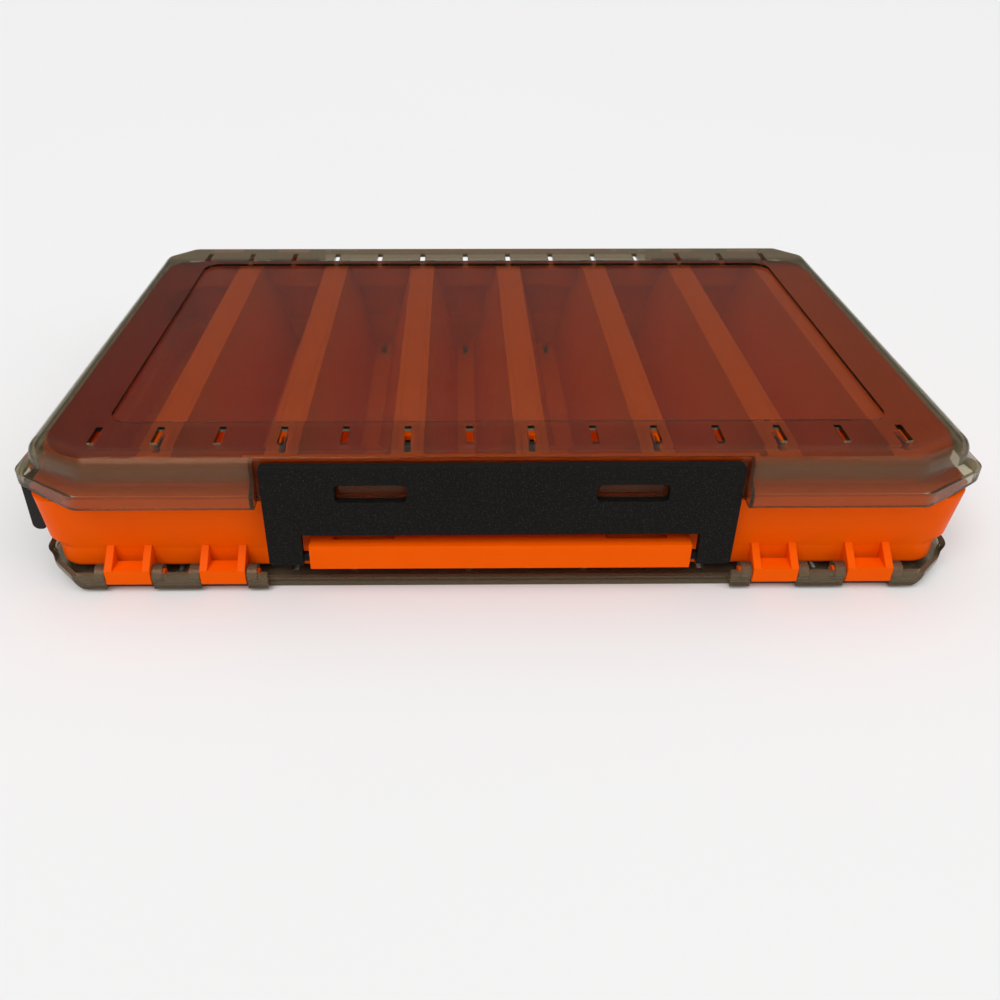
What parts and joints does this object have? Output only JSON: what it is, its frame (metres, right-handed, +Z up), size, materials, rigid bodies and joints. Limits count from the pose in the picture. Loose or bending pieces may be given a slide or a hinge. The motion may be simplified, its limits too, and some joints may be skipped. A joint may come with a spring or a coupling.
{
  "type": "two-sided tackle box",
  "caption": "Flat two-sided tackle box: orange tray with zigzag dividers between two hinged smoke lids, each held by a wide black latch, with a folding side handle.",
  "frame": {"origin": "centre of the bounding box at the underside", "axes": "+X across the width to the right, +Y from the front latch to the back, +Z up"},
  "size_m": [0.2818, 0.18, 0.047],
  "materials": {
    "orange_plastic": "satin moulded polypropylene",
    "smoke_plastic": "clear smoke-tinted polycarbonate",
    "black_plastic": "fine-grained satin black"
  },
  "bodies": {
    "case": {"divider_01": "orange_plastic", "divider_02": "orange_plastic", "divider_03": "orange_plastic", "divider_04": "orange_plastic", "divider_05": "orange_plastic", "divider_06": "orange_plastic", "divider_07": "orange_plastic", "divider_08": "orange_plastic", "divider_09": "orange_plastic", "divider_10": "orange_plastic", "divider_11": "orange_plastic", "divider_12": "orange_plastic", "divider_13": "orange_plastic", "floor_1": "orange_plastic", "floor_2": "orange_plastic", "floor_3": "orange_plastic", "floor_4": "orange_plastic", "floor_5": "orange_plastic", "floor_6": "orange_plastic", "floor_7": "orange_plastic", "front_hinge_lug_1": "orange_plastic", "front_hinge_lug_2": "orange_plastic", "front_hinge_lug_3": "orange_plastic", "front_hinge_lug_4": "orange_plastic", "front_latch_rail": "orange_plastic", "handle_ear_front": "orange_plastic", "handle_ear_rear": "orange_plastic", "rear_hinge_lug_1": "orange_plastic", "rear_hinge_lug_2": "orange_plastic", "rear_hinge_lug_3": "orange_plastic", "rear_hinge_lug_4": "orange_plastic", "rear_latch_rail": "orange_plastic", "ridge_1": "orange_plastic", "ridge_2": "orange_plastic", "ridge_3": "orange_plastic", "ridge_4": "orange_plastic", "ridge_5": "orange_plastic", "ridge_6": "orange_plastic", "ridge_7": "orange_plastic", "tray_shell": "orange_plastic"},
    "top_lid": {"top_lid": "smoke_plastic"},
    "base_lid": {"base_lid": "smoke_plastic"},
    "front_latch": {"front_latch": "black_plastic"},
    "rear_latch": {"rear_latch": "black_plastic"},
    "side_handle": {"side_handle": "black_plastic"}
  },
  "joints": [
    {"name": "top_lid_hinge", "type": "hinge", "parent": "case", "child": "top_lid", "pos_m": [0, 0.0847, 0.0414], "axis": [-1, 0, 0], "range_deg": [0, 110]},
    {"name": "base_lid_hinge", "type": "hinge", "parent": "case", "child": "base_lid", "pos_m": [0, -0.0847, 0.0056], "axis": [-1, 0, 0], "range_deg": [0, 110]},
    {"name": "front_latch_hinge", "type": "hinge", "parent": "case", "child": "front_latch", "pos_m": [0, -0.0862, 0.013], "axis": [1, 0, 0], "range_deg": [0, 100]},
    {"name": "rear_latch_hinge", "type": "hinge", "parent": "case", "child": "rear_latch", "pos_m": [0, 0.0862, 0.034], "axis": [1, 0, 0], "range_deg": [0, 100]},
    {"name": "side_handle_hinge", "type": "hinge", "parent": "case", "child": "side_handle", "pos_m": [-0.13875, 0, 0.03035], "axis": [0, 1, 0], "range_deg": [0, 88]}
  ]
}
